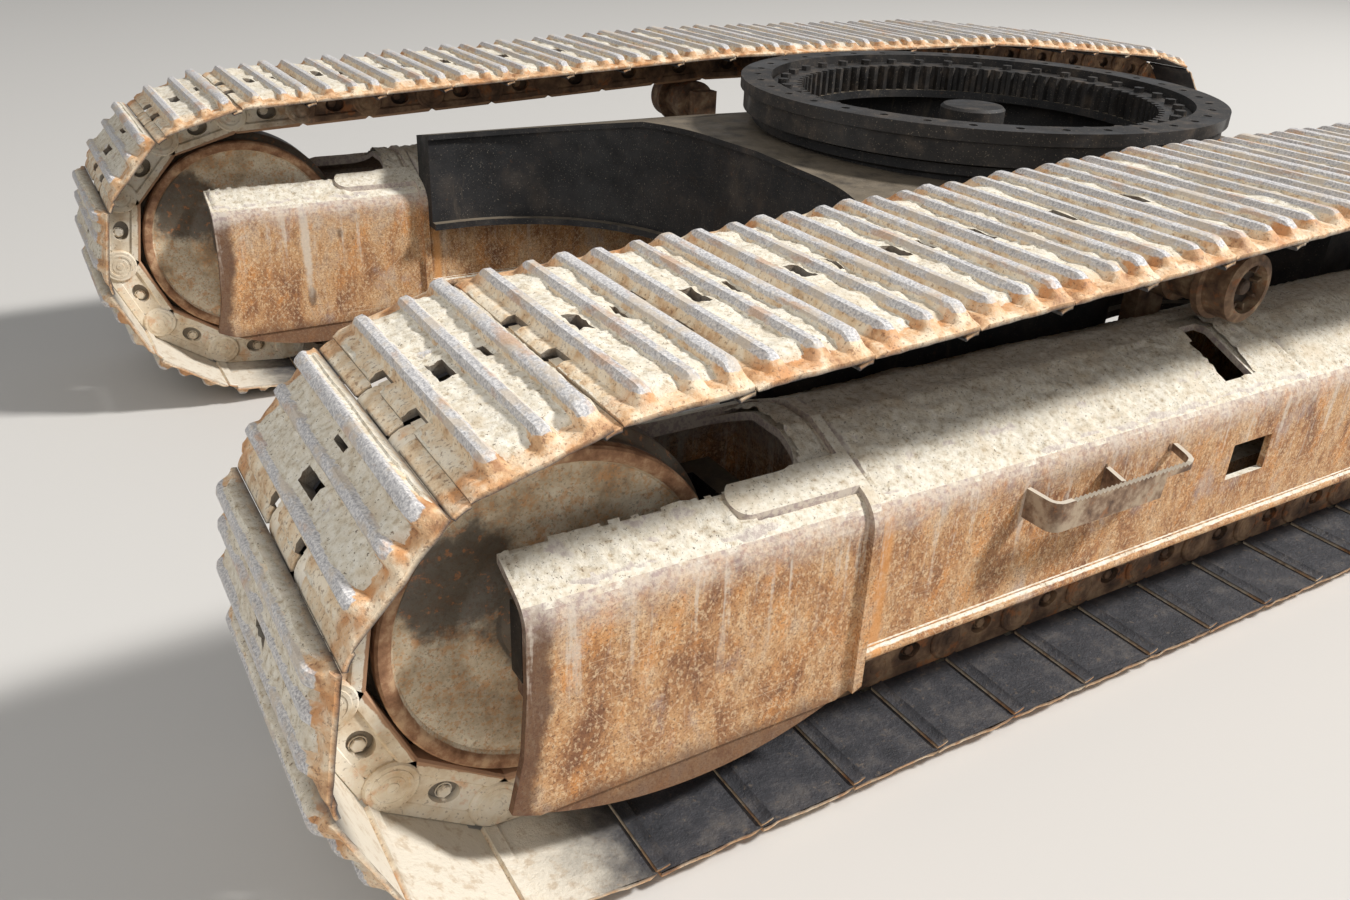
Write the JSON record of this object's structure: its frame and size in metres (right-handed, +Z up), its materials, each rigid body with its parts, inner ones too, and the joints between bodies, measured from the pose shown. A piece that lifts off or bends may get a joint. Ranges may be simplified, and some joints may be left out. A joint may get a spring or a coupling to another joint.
{
  "type": "crawler excavator undercarriage",
  "caption": "Crawler undercarriage of an excavator: track frames with shoes, chains, idlers, sprockets and rollers, joined by an X-shaped car body with a slewing ring.",
  "frame": {"origin": "on the ground, at the middle of the part's length and width, below the slewing axis", "axes": "+X forward to the idlers, +Y to the machine's left, +Z up"},
  "size_m": [4.7454, 2.8, 0.989],
  "materials": {
    "rusty_frame_steel": "rusted plate with remnants of paint and dried mud",
    "car_body_steel": "dark paint with oily dust",
    "slewing_ring_steel": "machined steel, darkened by grease",
    "idler_steel": "dusty cast steel with a worn tread",
    "roller_steel": "rusty forged steel with a polished tread",
    "drive_housing_steel": "dark painted casting with dust",
    "chain_steel": "forged links under dried mud, worn rails",
    "shoe_steel": "rolled steel under dried mud, worn grouser tips"
  },
  "bodies": {
    "undercarriage": {"tub": "car_body_steel", "leg_front_left": "car_body_steel", "leg_front_right": "car_body_steel", "leg_rear_left": "car_body_steel", "leg_rear_right": "car_body_steel", "ring_inner_race": "slewing_ring_steel", "swivel_body": "car_body_steel", "frame_left": "rusty_frame_steel", "frame_right": "rusty_frame_steel", "guard_left": "rusty_frame_steel", "guard_right": "rusty_frame_steel", "step_left": "rusty_frame_steel", "step_right": "rusty_frame_steel", "yoke_left": "car_body_steel", "yoke_right": "car_body_steel", "push_rod_left": "slewing_ring_steel", "push_rod_right": "slewing_ring_steel", "sprocket_left": "idler_steel", "sprocket_right": "idler_steel", "drive_left": "drive_housing_steel", "drive_right": "drive_housing_steel", "motor_left": "drive_housing_steel", "motor_right": "drive_housing_steel", "motor_guard_left": "rusty_frame_steel", "motor_guard_right": "rusty_frame_steel", "carriers_left": "roller_steel", "carriers_right": "roller_steel", "rollers_left": "roller_steel", "rollers_right": "roller_steel", "chain_guide_left": "rusty_frame_steel", "chain_guide_right": "rusty_frame_steel", "chain_left": "chain_steel", "chain_right": "chain_steel", "shoes_left": "shoe_steel", "shoes_right": "shoe_steel"},
    "upper_race": {"ring_outer_race": "slewing_ring_steel"},
    "swivel": {"swivel_rotor": "slewing_ring_steel"},
    "idler_left": {"idler_left": "idler_steel"},
    "idler_right": {"idler_right": "idler_steel"}
  },
  "joints": [
    {"name": "slew", "type": "hinge", "parent": "undercarriage", "child": "upper_race", "pos_m": [0, 0, 0.92], "axis": [0, 0, 1], "continuous": true},
    {"name": "swivel_turn", "type": "hinge", "parent": "undercarriage", "child": "swivel", "pos_m": [0, 0, 0.8], "axis": [0, 0, 1], "continuous": true},
    {"name": "idler_left_turn", "type": "hinge", "parent": "undercarriage", "child": "idler_left", "pos_m": [1.95, 1.1, 0.45442], "axis": [0, 1, 0], "continuous": true},
    {"name": "idler_right_turn", "type": "hinge", "parent": "undercarriage", "child": "idler_right", "pos_m": [1.95, -1.1, 0.45442], "axis": [0, 1, 0], "continuous": true}
  ]
}
